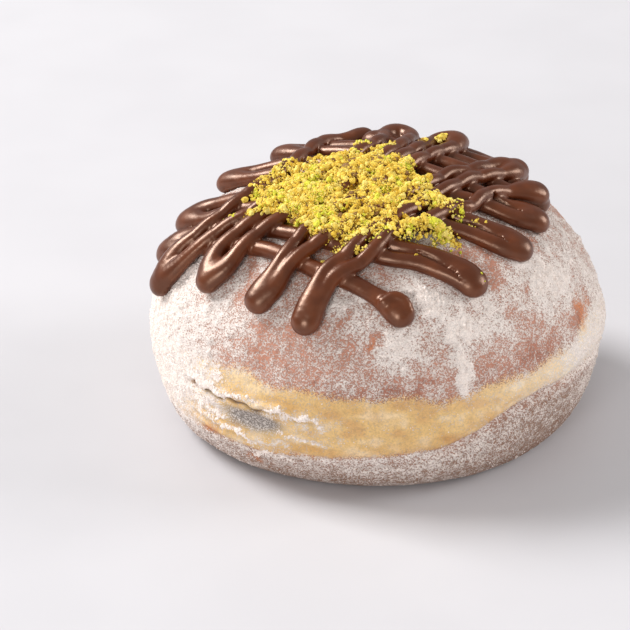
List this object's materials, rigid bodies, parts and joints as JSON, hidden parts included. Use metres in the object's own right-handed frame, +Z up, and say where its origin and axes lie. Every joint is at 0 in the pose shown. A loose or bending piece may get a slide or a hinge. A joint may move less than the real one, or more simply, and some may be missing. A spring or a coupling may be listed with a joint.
{
  "type": "filled round doughnut",
  "caption": "Round filled doughnut, sugared and slit at one side, topped with a crossed chocolate drizzle and a heap of chopped pistachio.",
  "frame": {"origin": "centre of the footprint at the plane the doughnut rests on", "axes": "+Z up, -Y toward the side with the slit, which the picture looks at, +X to that view's right"},
  "size_m": [0.1006, 0.1, 0.0612],
  "materials": {
    "dough": "matte, fried dough dusted with sugar, under a satin chocolate drizzle",
    "pistachio": "matte, coarse chopped nut"
  },
  "bodies": {
    "root": {"dough": "dough", "pistachio": "pistachio"}
  },
  "joints": []
}
